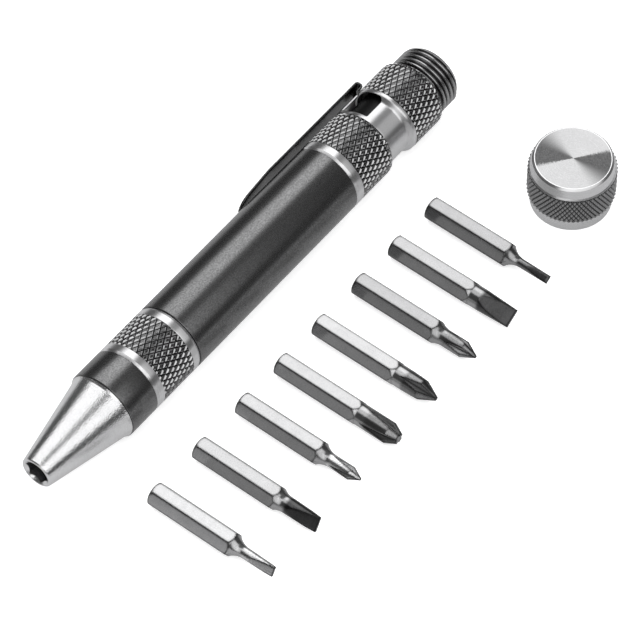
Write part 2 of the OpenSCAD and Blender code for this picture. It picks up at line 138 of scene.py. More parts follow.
def smooth_shade(mesh, sharp):
    """Smooth shading, apart from edges that turn by more than sharp degrees."""
    mesh.polygons.foreach_set("use_smooth", [True] * len(mesh.polygons))
    mesh.set_sharp_from_angle(angle=math.radians(sharp))


def merge_doubles(mesh):
    bm = bmesh.new()
    bm.from_mesh(mesh)
    bmesh.ops.remove_doubles(bm, verts=bm.verts, dist=1e-6)
    bm.to_mesh(mesh)
    bm.free()


def add_mesh(name, shape, body, material, stands_for=(), sharp=28, merge=False):
    """A piece from its vertices, its faces and, for some, the height of each vertex over its groove."""
    verts, faces, *levels = shape
    mesh = bpy.data.meshes.new(name)
    mesh.from_pydata([tuple(v) for v in verts], [], faces)
    if levels:
        mesh.attributes.new("groove", "FLOAT", "POINT").data.foreach_set("value", levels[0])
    if merge:
        merge_doubles(mesh)
    smooth_shade(mesh, sharp)
    mesh.update()
    obj = bpy.data.objects.new(name, mesh)
    bpy.context.scene.collection.objects.link(obj)
    obj.data.materials.append(material)
    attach(obj, body)
    if stands_for:
        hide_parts(*stands_for)
    return obj


def add_bevel(obj, width, segments, angle):
    """A bevel of width millimetres on edges that turn by more than angle degrees."""
    bevel = obj.modifiers.new("edges", "BEVEL")
    bevel.width = width / 1000
    bevel.segments = segments
    bevel.limit_method = "ANGLE"
    bevel.angle_limit = math.radians(angle)
    return bevel


def ring_faces(p, q, inward=False):
    """Quads between two closed rings of vertices."""
    faces = []
    for k in range(len(p)):
        m = (k + 1) % len(p)
        faces.append((p[k], q[k], q[m], p[m]) if inward else (p[k], p[m], q[m], q[k]))
    return faces


def turned(profile, place, seg, closed=True):
    """Turns (station, radius) points round an axis. The outside runs with the station and the inside
    against it."""
    verts, rows, faces = [], [], []
    for a, r in profile:
        count = seg if r else 1
        rows.append(list(range(len(verts), len(verts) + count)))
        verts += [place(a, r, 2 * math.pi * k / seg) for k in range(count)]
    pairs = list(zip(rows, rows[1:]))
    if closed:
        pairs.append((rows[-1], rows[0]))
    for p, q in pairs:
        if len(p) == 1:
            faces += [(p[0], b, a) for a, b in zip(q, q[1:] + q[:1])]
        elif len(q) == 1:
            faces += [(a, b, q[0]) for a, b in zip(p, p[1:] + p[:1])]
        else:
            faces += ring_faces(p, q)
    return verts, faces


def corner_arc(before, here, after, radius, steps):
    """The arc that rounds one corner, or the corner itself where the outline is nearly straight. It takes
    up less than half of each side."""
    straight, share = math.radians(85), 0.45
    p, a, b = (np.array(point, float) for point in (here, before, after))
    u, w = a - p, b - p
    lu, lw = np.linalg.norm(u), np.linalg.norm(w)
    u, w = u / lu, w / lw
    half = math.acos(max(-1, min(1, float(u @ w)))) / 2
    if half > straight:
        return [tuple(p)]
    cut = min(radius / math.tan(half), share * lu, share * lw)
    r = cut * math.tan(half)
    centre = p + (u + w) / np.linalg.norm(u + w) * (r / math.sin(half))
    start, end = p + u * cut - centre, p + w * cut - centre
    arc = []
    for t in np.linspace(0, 1, steps + 1):
        v = start * (1 - t) + end * t
        arc.append(tuple(centre + v / np.linalg.norm(v) * r))
    return arc


def rounded(points, radius, steps=3):
    """An open outline with its inner corners rounded."""
    out = [points[0]]
    for before, here, after in zip(points, points[1:], points[2:]):
        out += corner_arc(before, here, after, radius, steps)
    return out + [points[-1]]


def take_mesh(bm):
    """Vertices and faces of a bmesh, which is freed."""
    bm.verts.index_update()
    verts = [tuple(v.co) for v in bm.verts]
    faces = [tuple(v.index for v in f.verts) for f in bm.faces]
    bm.free()
    return verts, faces


def trim(bm, place, x0, x1):
    """Cuts away what lies before station x0 or after x1."""
    along = (Vector(place(1, 0, 0)) - Vector(place(0, 0, 0))).normalized()
    for station, keep_after in ((x0, True), (x1, False)):
        geom = list(bm.verts) + list(bm.edges) + list(bm.faces)
        bmesh.ops.bisect_plane(bm, geom=geom, plane_co=Vector(place(station, 0, 0)), plane_no=along,
                               clear_inner=keep_after, clear_outer=not keep_after, dist=1e-7)


def knurled(place, x0, x1, top, depth, starts, per_mm):
    """Flat-topped pads between two sets of grooves, from station x0 to x1. top gives the radius of their tops
    at a station."""
    # Square rings of one pad, from its grooves to its flat top: half width and height
    rings = [(0.5, 0.0), (0.47, 0.04), (PAD_FLAT / 2 + 0.02, 0.96), (PAD_FLAT / 2, 1.0)]
    corners = [(1, 1), (-1, 1), (-1, -1), (1, -1)]
    cuts = 3
    bm = bmesh.new()
    level = bm.verts.layers.float.new("groove")

    def point(i, j, p, q, h):
        a, b = i + 0.5 + p, j + 0.5 + q
        x, th = (a - b) / (2 * per_mm), math.pi * (a + b) / starts
        v = bm.verts.new(place(x, top(min(max(x, x0), x1)) - depth * (1 - h), th))
        v[level] = h
        return v

    def ring(i, j, half, h):
        out = []
        for (ax, ay), (bx, by) in zip(corners, corners[1:] + corners[:1]):
            for k in range(cuts):
                t = k / cuts
                out.append(point(i, j, half * (ax + (bx - ax) * t), half * (ay + (by - ay) * t), h))
        return out

    def pad(i, j):
        loops = [ring(i, j, half, h) for half, h in rings]
        for low, high in zip(loops, loops[1:]):
            for face in ring_faces(low, high, inward=True):
                bm.faces.new(face)
        bm.faces.new(loops[-1][::-1])

    for row in range(math.floor(x0 * 2 * per_mm) - 1, math.ceil(x1 * 2 * per_mm) + 2):
        for n in range(starts):
            pad(n + row, n)
    bmesh.ops.remove_doubles(bm, verts=bm.verts, dist=2e-6)
    trim(bm, place, x0, x1)
    levels = [v[level] for v in bm.verts]
    return *take_mesh(bm), levels


# Node helpers for materials
class Graph:
    def __init__(self, tree):
        self.tree = tree
        tree.nodes.clear()

    def node(self, kind, inputs=None, **props):
        n = self.tree.nodes.new(kind)
        for k, v in props.items():
            setattr(n, k, v)
        for k, v in (inputs or {}).items():
            if isinstance(v, bpy.types.NodeSocket):
                self.tree.links.new(v, n.inputs[k])
            else:
                n.inputs[k].default_value = v
        return n

    def math(self, op, a, b=0.0, clamp=False):
        return self.node("ShaderNodeMath", {0: a, 1: b}, operation=op, use_clamp=clamp).outputs[0]

    def span(self, value, lo, hi, out_lo=0.0, out_hi=1.0, kind="SMOOTHSTEP"):
        inputs = {"Value": value, "From Min": lo, "From Max": hi, "To Min": out_lo, "To Max": out_hi}
        return self.node("ShaderNodeMapRange", inputs, interpolation_type=kind).outputs[0]

    def mix(self, fac, a, b):
        return self.node("ShaderNodeMix", {"Factor": fac, 6: a, 7: b}, data_type="RGBA").outputs[2]

    def noise(self, size, detail, dims="3D", **source):
        """Noise round zero whose coarsest grain is size millimetres."""
        inputs = {"Scale": 1000 / size, "Detail": detail, "Roughness": 0.6}
        inputs.update(source)
        raw = self.node("ShaderNodeTexNoise", inputs, noise_dimensions=dims).outputs[0]
        return self.math("SUBTRACT", raw, 0.5)

    def finish(self, kind, surface):
        self.tree.links.new(surface, self.node(kind).inputs[0])


def grey(v):
    return (v, v, v * 1.01, 1)


# Metals
def from_cap_axis(g, axes):
    x = g.math("SUBTRACT", axes["X"], (CAP_X - MID_X) / 1000)
    y = g.math("SUBTRACT", axes["Y"], (CAP_Y - MID_Y) / 1000)
    return x, y


def lathe_station(g, axes, turn):
    """What grows from one lathe line to the next: on the driver the station, and on the cap the distance
    from its axis plus the height."""
    if turn == "X":
        return axes["X"]
    x, y = from_cap_axis(g, axes)
    far = g.math("SQRT", g.math("ADD", g.math("MULTIPLY", x, x), g.math("MULTIPLY", y, y)))
    return g.math("ADD", far, axes["Z"])


def metal_tone(g, coord, axes, turn, lines, grain, clouds):
    """Mottling round a half, and the noise that gives the relief. Each layer is a weight and a size."""
    layers, relief = [], None
    if lines[0]:
        relief = g.noise(lines[1], 3.0, "1D", W=lathe_station(g, axes, turn))
        layers.append((relief, lines[0]))
    if grain[0]:
        relief = g.noise(grain[1], 2.0, Vector=coord)
        layers.append((relief, grain[0]))
    if clouds[0]:
        layers.append((g.noise(clouds[1], 4.0, Vector=coord), clouds[0]))
    tone = 0.5
    for value, weight in layers:
        tone = g.math("ADD", g.math("MULTIPLY", value, weight), tone)
    return tone, relief


def painted_groove_shade(g, colour, shade, groove, reach, crown):
    """Painted shade in the grooves: darkens them up to the height reach, and gives the flat tops the two
    greys of crown.
    """
    root, flat_top = 0.02, (0.965, 0.995)
    height = g.node("ShaderNodeAttribute", attribute_name="groove").outputs["Fac"]
    # Painted shade: below the height reach, the groove grey stands in for the shade deep in the grooves.
    colour = g.mix(g.span(height, root, reach), grey(groove), colour)
    if crown is None:
        return colour
    return g.mix(g.span(height, *flat_top), colour, g.mix(shade, grey(crown[0]), grey(crown[1])))


def painted_sector_shade(g, colour, axes, speck, sector_shade):
    """Painted reflection: two dark sectors on a spun disc, where its spun lines mirror no light, opposite
    each other and with ragged sides. Angles are in degrees.
    """
    darkens, lightens, raggedness = (56, 106), (138, 147), 14.0
    x, y = from_cap_axis(g, axes)
    angle = g.math("MULTIPLY", g.math("ARCTAN2", y, x), 180 / math.pi)
    ragged = g.math("ADD", angle, g.math("MULTIPLY", speck, raggedness))
    folded = g.math("FLOORED_MODULO", ragged, 180.0)
    sector = g.math("MULTIPLY", g.span(folded, *darkens), g.span(folded, *lightens, 1.0, 0.0))
    dark = g.mix(g.math("ADD", speck, 0.5), grey(sector_shade * 0.3), grey(sector_shade * 1.7))
    return g.mix(sector, colour, dark)


# Painted reflection: a bit's tip gets a grey of its own, lighter or darker than its shank, for how its faces
# catch the light.
def painted_tip_reflection(g, colour, axes, shade, start, tip_reflection_grey):
    blend = 4e-4
    there = g.span(axes["Y"], start - blend, start + blend, 1.0, 0.0)
    return g.mix(there, colour, g.mix(shade, grey(0.4 * tip_reflection_grey), grey(1.6 * tip_reflection_grey)))


# Painted shade: a near-black line along the rounded edges, where the rounded normal turns away from the face.
def painted_edge_shade(g, colour, rounded_normal, edge_shade_grey):
    on_edge, on_face = 0.94, 0.9995
    flat = g.node("ShaderNodeNewGeometry").outputs["True Normal"]
    facing = g.node("ShaderNodeVectorMath", {0: rounded_normal, 1: flat}, operation="DOT_PRODUCT")
    return g.mix(g.span(facing.outputs["Value"], on_edge, on_face), grey(edge_shade_grey), colour)


def metal_shader(g, colour, roughness, turn, stretch, normal):
    shader = g.node("ShaderNodeBsdfPrincipled", {
        "Base Color": colour, "Metallic": 1.0, "Roughness": roughness, "Anisotropic": stretch})
    if stretch:
        tangent = g.node("ShaderNodeTangent", direction_type="RADIAL", axis=turn).outputs[0]
        g.tree.links.new(tangent, shader.inputs["Tangent"])
        shader.inputs["Anisotropic Rotation"].default_value = 0.25
    if normal:
        g.tree.links.new(normal, shader.inputs["Normal"])
    return shader.outputs[0]


def with_mirror_image(g, surface, strength):
    """The surface, with a plain glow in its place wherever other metal mirrors it."""
    image = g.node("ShaderNodeEmission", {"Color": (1, 1, 1, 1), "Strength": strength})
    glossy = g.node("ShaderNodeLightPath").outputs["Is Glossy Ray"]
    return g.node("ShaderNodeMixShader", {0: glossy, 1: surface, 2: image.outputs[0]}).outputs[0]


def metal(name, dark, light, rough, spread=0.05, turn=None, stretch=0.0, lines=0.0, line_size=0.16,
          grain=0.0, grain_size=0.2, clouds=0.0, cloud_size=2.0, bump=0.0, groove=None, reach=0.0,
          crown=None, sector_shade=None, tip=None, edge=0.0, edge_shade_grey=None, mirrored=None):
    """Metal between two greys. turn is the axis that its lathe lines run round, and stretch draws its
    highlights out across them. lines, grain and clouds weigh its mottling, and bump is the relief's depth.
    edge is the radius that its edges seem to have, with the grey of the painted shade along them. groove is
    the grey of the painted shade in the grooves, up to the height reach. tip is the Y below which a bit's tip
    starts, with the grey of its painted reflection, and mirrored is how bright the metal looks in other
    metal."""
    mat = bpy.data.materials.new(name)
    mat.use_nodes = True
    g = Graph(mat.node_tree)
    coord = g.node("ShaderNodeTexCoord").outputs["Object"]
    axes = g.node("ShaderNodeSeparateXYZ", {0: coord}).outputs
    tone, relief = metal_tone(g, coord, axes, turn, (lines, line_size), (grain, grain_size),
                              (clouds, cloud_size))
    shade = g.math("ADD", tone, 0.0, clamp=True)
    colour = g.mix(shade, grey(dark), grey(light))
    if groove is not None:
        colour = painted_groove_shade(g, colour, shade, groove, reach, crown)
    if sector_shade is not None:
        colour = painted_sector_shade(g, colour, axes, relief, sector_shade)
    if tip is not None:
        colour = painted_tip_reflection(g, colour, axes, shade, *tip)
    normal = None
    if edge:
        normal = g.node("ShaderNodeBevel", {"Radius": edge / 1000}, samples=6).outputs[0]
        colour = painted_edge_shade(g, colour, normal, edge_shade_grey)
    if bump:
        inputs = {"Strength": 1.0, "Distance": bump, "Height": relief}
        if normal:
            inputs["Normal"] = normal
        normal = g.node("ShaderNodeBump", inputs).outputs[0]
    roughness = g.span(tone, 0.0, 1.0, rough + spread, max(0.03, rough - spread), "LINEAR")
    surface = metal_shader(g, colour, roughness, turn, stretch, normal)
    if mirrored is not None:
        surface = with_mirror_image(g, surface, mirrored)
    g.finish("ShaderNodeOutputMaterial", surface)
    return mat


POLISHED = metal("polished_nose", 0.66, 0.9, 0.2, 0.04, turn="X", stretch=0.6, lines=0.6,
                 grain=0.7, grain_size=0.3, clouds=0.5, bump=4.2e-5)
GUNMETAL = metal("satin_gunmetal", 0.11, 0.24, 0.27, 0.03, grain=1.8, grain_size=0.3, clouds=0.25, bump=3e-6)
BRIGHT = metal("turned_land", 0.6, 0.9, 0.32, turn="X", stretch=0.85, lines=0.9, line_size=0.14,
               clouds=0.8, cloud_size=1.2, bump=8e-7)
# The knurls and the thread below paint shade into their grooves, with the groove grey up to the height reach.
KNURL = metal("knurled_metal", 0.38, 0.58, 0.2, grain=0.9, clouds=0.6, groove=0.012, reach=0.5,
              crown=(0.07, 0.17))
# Painted shade: the tube's wall, which shows only deep between the parts, is near black, far darker than its
# own thread.
TUBE_IN_SHADE = metal("tube_metal", 0.015, 0.035, 0.4, turn="X", lines=0.8, grain=0.6)
THREADED = metal("thread_metal", 0.3, 0.46, 0.26, turn="X", stretch=0.7, lines=0.5, grain=0.6,
                 groove=0.03, reach=0.75)
CHROME = metal("clip_chrome", 0.6, 0.8, 0.33, 0.04, turn="X", stretch=0.8, grain=0.8, clouds=0.6, bump=6e-7)
# Painted shade: the clip's blade and tongue take a much darker copy of its chrome.
SHADED_CLIP = metal("clip_chrome_in_shade", 0.05, 0.11, 0.24, 0.04, grain=1.2, clouds=0.5)
# The spun disc carries painted reflection: two dark sectors fixed to the disc.
SPUN = metal("spun_disc", 0.36, 0.5, 0.28, 0.04, turn="Z", stretch=0.6, lines=0.6, grain=0.8, clouds=0.3,
             sector_shade=0.09)
CAP_SATIN = metal("cap_satin", 0.6, 0.8, 0.28, turn="Z", stretch=0.4, lines=0.8, line_size=0.12, clouds=0.3)
CAP_KNURL = metal("cap_knurl", 0.24, 0.4, 0.34, grain=0.9, clouds=0.5, groove=0.04, reach=0.5)
MAGNET = metal("magnet_metal", 0.3, 0.45, 0.3, grain=0.6)


# Nose
def nose_outline():
    """Outside of the nose and its spigot, with the long cone cut into steps."""
    cone = [(0.0, SOCKET_MOUTH_R), (0.0, NOSE_RIM_R), (NOSE_RIM_EDGE, NOSE_RIM_R + NOSE_RIM_EDGE),
            NOSE_FLARE, (NOSE_LEN, NOSE_BASE_R)]
    outer = rounded(cone, NOSE_ROUND, 4)[:-1]
    outer += [(NOSE_LEN - back, NOSE_BASE_R - drop) for back, drop in NOSE_BASE_EDGE]
    outer += [(NOSE_LEN, SPIGOT_R), (SPIGOT_END, SPIGOT_R), (SPIGOT_END, 0.0)]
    fine = []
    for (a0, r0), (a1, r1) in zip(outer, outer[1:]):
        cuts = 10 if a1 - a0 > 5 and r1 != r0 else 1
        fine += [(a0 + (a1 - a0) * k / cuts, r0 + (r1 - r0) * k / cuts) for k in range(cuts)]
    return fine + [outer[-1]]


def nose():
    seg = 288
    verts, faces = turned(nose_outline(), on_driver, seg, closed=False)
    mouth, chamfer, bottom = [], [], []
    for k in range(seg):
        th = 2 * math.pi * k / seg
        hex_r = SOCKET_AF / 2 / math.cos((th - SOCKET_TURN) % (math.pi / 3) - math.pi / 6)
        mouth.append(on_driver(0.0, SOCKET_MOUTH_R, th))
        chamfer.append(on_driver(SOCKET_MOUTH_R - hex_r, hex_r, th))
        bottom.append(on_driver(SOCKET_DEPTH, hex_r, th))
    rings = []
    for ring in (mouth, chamfer, bottom):
        rings.append(range(len(verts), len(verts) + seg))
        verts += ring
    for p, q in zip(rings, rings[1:]):
        faces += ring_faces(p, q, inward=True)
    return verts, faces


# Sleeves and grips
def sleeve(x0, x1, front, back, radius):
    """A sleeve whose ends each have an edge or bevel of a length and a drop."""
    points = [(x0, SLEEVE_R), (x0, BODY_R - front[1]), (x0 + front[0], BODY_R), (x1 - back[0], BODY_R),
              (x1, BODY_R - back[1]), (x1, SLEEVE_R)]
    return turned(rounded(points, radius), on_driver, 224)


def level_top(x):
    return BODY_R


def runout(end):
    """Radius of pads that run out towards a station."""
    def top(x):
        t = max(0.0, (x - end + RUNOUT) / RUNOUT)
        return BODY_R - RUNOUT_DEPTH * t * t
    return top


def add_grip(name, lands, span, top):
    for k, sizes in enumerate(lands):
        land = sleeve(*sizes, LAND_ROUND)
        add_mesh(f"{name}_land_{k + 1}", land, "driver", BRIGHT, [name])
    pads = knurled(on_driver, *span, top, GRIP_DEPTH, GRIP_STARTS, GRIP_PER_MM)
    add_mesh(name + "_knurl", pads, "driver", KNURL, [name], sharp=16)
    under = GRIP_DEPTH + UNDER_PADS
    core = [(span[0], SLEEVE_R), (span[0], BODY_R - under), (span[1] - RUNOUT, BODY_R - under),
            (span[1], top(span[1]) - under), (span[1], SLEEVE_R)]
    add_mesh(name + "_core", turned(core, on_driver, 128), "driver", KNURL, [name])


# Tube and tail thread
def thread_crest(u):
    """Height of the thread's section, from 0 in the root to 1 on the crest, as u runs over one turn."""
    d = abs(u % 1.0 - 0.5) * 2
    return 0.5 + 0.5 * math.cos(math.pi * min(1.0, max(0.0, (d - CREST_FLAT) / CREST_SLOPE)))


def tail_thread():
    per_turn, seg, bore_level = 16, 160, 0.3
    x0, x1 = THREAD
    verts, levels, rows, faces = [], [], [], []
    for x in np.linspace(x0, x1, round((x1 - x0) / THREAD_PITCH * per_turn) + 1):
        top = THREAD_R - THREAD_BEVEL_SLOPE * max(0.0, x - (x1 - THREAD_BEVEL))
        fade = min(1.0, max(0.0, (x - x0 - THREAD_PLAIN) / THREAD_FADE))
        rows.append(range(len(verts), len(verts) + seg))
        for k in range(seg):
            level = thread_crest((x - x0) / THREAD_PITCH - k / seg) * fade
            r = THREAD_ROOT + (THREAD_R - THREAD_ROOT) * level
            # The thread's painted groove shade follows its height, and is left off the plain neck where the
            # thread fades in.
            levels.append(max(level, 1 - fade))
            verts.append(on_driver(x, min(r, top), 2 * math.pi * k / seg))
    for x in (x1, x0):
        rows.append(range(len(verts), len(verts) + seg))
        verts += [on_driver(x, STORE_R, 2 * math.pi * k / seg) for k in range(seg)]
        # Inside the bore, a partial painted shade.
        levels += [bore_level] * seg
    for p, q in zip(rows, rows[1:] + rows[:1]):
        faces += ring_faces(p, q)
    return verts, faces, levels


def add_driver():
    add_mesh("nose_shell", nose(), "driver", POLISHED, ["nose_cone"], sharp=25, merge=True)
    edge = (SLEEVE_EDGE, SLEEVE_EDGE)
    for name, span in (("front_collar", COLLAR), ("barrel_sleeve", BARREL)):
        skin = sleeve(*span, edge, edge, 0.6 * SLEEVE_EDGE)
        add_mesh(name + "_skin", skin, "driver", GUNMETAL, [name])
    front_lands = [(FRONT[0], FRONT[0] + LAND, BEVEL, SMALL_EDGE),
                   (FRONT[1] - LAND, FRONT[1], SMALL_EDGE, BEVEL)]
    rear_lands = [(REAR[0], REAR[0] + LAND, BEVEL, SMALL_EDGE)]
    add_grip("front_grip", front_lands, (FRONT[0] + LAND, FRONT[1] - LAND), level_top)
    add_grip("rear_grip", rear_lands, (REAR[0] + LAND, REAR[1]), runout(REAR[1]))
    add_grip("tail_grip", [], TAIL, runout(TAIL[1]))
    tube = [(COLLAR[0], SPIGOT_BORE_R), (COLLAR[0], TUBE_R), (THREAD[0], TUBE_R), (THREAD[0], STORE_R),
            (SPIGOT_STEP, STORE_R), (SPIGOT_STEP, SPIGOT_BORE_R)]
    # The tube's wall is near black as painted shade.
    add_mesh("core_tube_wall", turned(tube, on_driver, 160), "driver", TUBE_IN_SHADE, ["core_tube"])
    add_mesh("tail_thread_turns", tail_thread(), "driver", THREADED, ["core_tube"], sharp=50)


# Clip: a collar of sheet with two windows, and a strip folded back over it
def collar_radius(t, angle):
    """Outside of the collar, which rises to the bridge at its front edge and to the flange at its rear."""
    reach = 2.1
    bridge_half = math.asin(BLADE_W / 2 / BRIDGE_OUT)
    near = ease((reach * bridge_half - abs(angle)) / bridge_half) if t <= WINDOW[0] else 0.0
    flange = ease((t - FLANGE[0]) / (FLANGE[1] - FLANGE[0]))
    return RING_OUT + (BRIDGE_OUT - RING_OUT) * max(near, flange)


def window_edge(t):
    """Angle from the bridge's middle to the window's edge, with round corners at both ends."""
    front, back = WINDOW
    front_corner, back_corner = WINDOW_CORNERS
    gone = 0.0
    for corner, past in ((front_corner, front + front_corner - t), (back_corner, t - back + back_corner)):
        d = min(corner, max(0.0, past))
        gone += corner - math.sqrt(corner * corner - d * d)
    return WINDOW_HALF - gone / RING_OUT


def collar_stations():
    """Stations along the collar, closer together at the window's corners and on the flange."""
    front, back = WINDOW
    front_corner, back_corner = WINDOW_CORNERS
    stations = [0.0, 0.3]
    stations += [front + front_corner * (1 - math.cos(math.pi / 2 * k / 4)) for k in range(4)]
    stations += list(np.linspace(front + front_corner, back - back_corner, 14))
    stations += [back - back_corner * (1 - math.sin(math.pi / 2 * k / 8)) for k in range(1, 9)]
    return stations + [back + 0.15 * k for k in (1, 2, 3)] + [RING_LEN]


def collar_sheet():
    far_columns, near_columns = 64, 44
    stations = collar_stations()
    bm = bmesh.new()

    def patch(rows, span, columns):
        grid = []
        for t in rows:
            angles = np.linspace(*span(t), columns + 1)
            points = [on_driver(RING_X + t, collar_radius(t, a), CLIP_ANGLE + a) for a in angles]
            grid.append([bm.verts.new(p) for p in points])
        for p, q in zip(grid, grid[1:]):
            for k in range(columns):
                bm.faces.new((p[k], p[k + 1], q[k + 1], q[k]))

    def far_side(t):
        return window_edge(t), 2 * math.pi - window_edge(t)

    def near_side(t):
        return -window_edge(t), window_edge(t)

    patch(stations, far_side, far_columns)
    patch([t for t in stations if t <= WINDOW[0] + 1e-9], near_side, near_columns)
    patch([t for t in stations if t >= WINDOW[1] - 1e-9], near_side, near_columns)
    bmesh.ops.remove_doubles(bm, verts=bm.verts, dist=2e-6)
    return take_mesh(bm)


def sheet_section(wide):
    """Round-edged section of the sheet, as points out and across. wide is half its width."""
    steps, across = 4, 10
    flat = max(0.02, wide - SHEET_EDGE)
    section = []
    for quarter, (out, side) in enumerate(((1, 1), (-1, 1), (-1, -1), (1, -1))):
        for k in range(steps + 1):
            turn = math.pi / 2 * (quarter + k / steps)
            u = out * (SHEET / 2 - SHEET_EDGE) + SHEET_EDGE * math.cos(turn)
            w = side * flat + min(SHEET_EDGE, wide) * math.sin(turn)
            section.append((u, w))
        if quarter % 2:
            section += [(out * SHEET / 2, side * flat * (1 - 2 * k / across)) for k in range(1, across)]
    return section


def strip(path, half_width):
    """Sweeps the sheet's section along points in its middle. Each has a station, a distance out and a curl,
    which is 1 where the sheet bends round the barrel and 0 where it is flat."""
    verts, faces, rows = [], [], []
    for i, (t, out, curl) in enumerate(path):
        before, after = path[max(0, i - 1)], path[min(len(path) - 1, i + 1)]
        run = np.array(after[:2]) - np.array(before[:2])
        run = run / np.linalg.norm(run)
        up = np.array([-run[1], run[0]])
        section = sheet_section(half_width(t))
        rows.append(range(len(verts), len(verts) + len(section)))
        for u, w in section:
            station, far = np.array([t, out]) + up * u
            bent = far + curl * (math.sqrt(far ** 2 - w * w) - far)
            verts.append(on_clip(station, bent, w))
    for p, q in zip(rows, rows[1:]):
        faces += ring_faces(p, q, inward=True)
    return verts, faces + [tuple(rows[0]), tuple(rows[-1][::-1])]


def half_turn(start, first_curl, steps=16):
    """Half of the fold's round turn, from one sheet's middle line to the seam, where the curl is a half."""
    middle = (FOLD_LOW + FOLD_HIGH) / 2
    radius = (FOLD_HIGH - FOLD_LOW) / 2
    last = math.pi / 2 - FOLD_SEAM / 2 / radius
    begin = FOLD_END - SHEET / 2 - radius
    points = []
    for k in range(steps + 1):
        turn = last * k / steps
        curl = first_curl + (0.5 - first_curl) * ease(k / steps)
        points.append((begin + radius * math.sin(turn), middle + (start - middle) * math.cos(turn), curl))
    return points


def bridge_path():
    return [(t, BRIDGE_OUT - SHEET / 2, 1.0) for t in np.linspace(0, BRIDGE_END, 8)]


def tongue_path():
    """From the bridge over the edge of the tail knurl and into the fold."""
    low = BRIDGE_OUT - SHEET / 2
    rise = [(BRIDGE_END + TONGUE_RISE * t, low + (FOLD_LOW - low) * ease(t), 1.0)
            for t in np.linspace(0, 1, 7)]
    return rise + half_turn(FOLD_LOW, 1.0)


def blade_path():
    """From the blade's tip up its slope, along the barrel and into the fold."""
    tip = BODY_R + TIP_GAP + SHEET / 2
    slope_end = BLADE_TIP + BLADE_SLOPE
    turn_start = FOLD_END - SHEET / 2 - (FOLD_HIGH - FOLD_LOW) / 2
    stations = [BLADE_TIP + BLADE_W / 2 * (1 - math.cos(math.pi / 2 * k / 8)) for k in range(9)]
    stations += list(np.linspace(stations[-1], slope_end, 6))[1:]
    path = [(t, tip + (FOLD_HIGH - tip) * (t - BLADE_TIP) / BLADE_SLOPE, 0.0) for t in stations]
    path += [(t, FOLD_HIGH, 0.0) for t in np.linspace(slope_end, turn_start, 14)[1:-1]]
    return path + half_turn(FOLD_HIGH, 0.0)


def full_half_width(t):
    return BLADE_W / 2


def blade_half_width(t):
    d = max(0.0, BLADE_TIP + BLADE_W / 2 - t)
    return math.sqrt(max(0.0, (BLADE_W / 2) ** 2 - d * d))


def add_clip():
    ring = add_mesh("clip_ring_sheet", collar_sheet(), "clip_ring", CHROME, ["clip_collar"],
                    sharp=40)
    wall = ring.modifiers.new("sheet", "SOLIDIFY")
    wall.thickness = SHEET / 1000
    wall.offset = -1
    add_bevel(ring, RING_ROUND, 4, 50)
    bridge = strip(bridge_path(), full_half_width)
    add_mesh("clip_bridge", bridge, "clip_ring", CHROME, ["clip_collar"])
    # The tongue and blade get the clip's chrome darkened as painted shade.
    tongue = strip(tongue_path(), full_half_width)
    add_mesh("clip_tongue", tongue, "clip_ring", SHADED_CLIP, ["clip_collar"])
    blade = strip(blade_path(), blade_half_width)
    add_mesh("clip_blade_strip", blade, "clip_spring", SHADED_CLIP, ["clip_blade"])


# Cap
def cap_top(x):
    return CAP_R


def add_cap_piece(name, points, material, merge=False):
    shape = turned(points, on_cap, 224, closed=False)
    add_mesh("tail_cap_" + name, shape, "cap", material, ["tail_cap"], merge=merge)


def add_cap():
    core_in, core_out = CAP_BORE_R + CAP_WALL, CAP_R - CAP_DEPTH - UNDER_PADS
    rim = [(CAP_BORE, CAP_BORE_R), (0.0, CAP_BORE_R), (0.0, CAP_RIM_R), (CAP_RIM, CAP_RIM_R),
           (CAP_RIM, core_in)]
    add_cap_piece("rim", rounded(rim, CAP_RIM_ROUND), CAP_SATIN)
    band = [(CAP_KNURL_TOP - CAP_BAND_UNDER, CAP_BAND_IN), (CAP_KNURL_TOP, CAP_R - CAP_BAND_INSET),
            (CAP_KNURL_TOP + CAP_BAND_STEP, CAP_BAND_R), (CAP_NECK, CAP_NECK_R), (CAP_TOP, CAP_EDGE_R),
            (CAP_TOP, CAP_DISC_R)]
    add_cap_piece("band", rounded(band, CAP_BAND_ROUND), CAP_SATIN)
    disc = [(CAP_TOP, CAP_DISC_R * (1 - k / 8)) for k in range(9)]
    add_cap_piece("disc", disc, SPUN, merge=True)
    pads = knurled(on_cap, CAP_RIM, CAP_KNURL_TOP, cap_top, CAP_DEPTH, CAP_STARTS, CAP_PER_MM)
    add_mesh("tail_cap_knurl", pads, "cap", CAP_KNURL, ["tail_cap"], sharp=16)
    hollow = [(CAP_HOLLOW, 0.0), (CAP_HOLLOW, STORE_R), (CAP_BORE, STORE_R), (CAP_BORE, CAP_BORE_R)]
    add_cap_piece("hollow", hollow, CAP_SATIN)
    core = [(CAP_RIM, core_in), (CAP_RIM, core_out), (CAP_KNURL_TOP, core_out), (CAP_KNURL_TOP, core_in)]
    add_cap_piece("core", core, CAP_KNURL)


# Bits and magnet, which keep their CAD shapes
def dress(name, material, width, sharp):
    obj = nodes[name]
    obj.data.materials.clear()
    obj.data.materials.append(material)
    smooth_shade(obj.data, sharp)
    add_bevel(obj, width, 2, 28).harden_normals = True


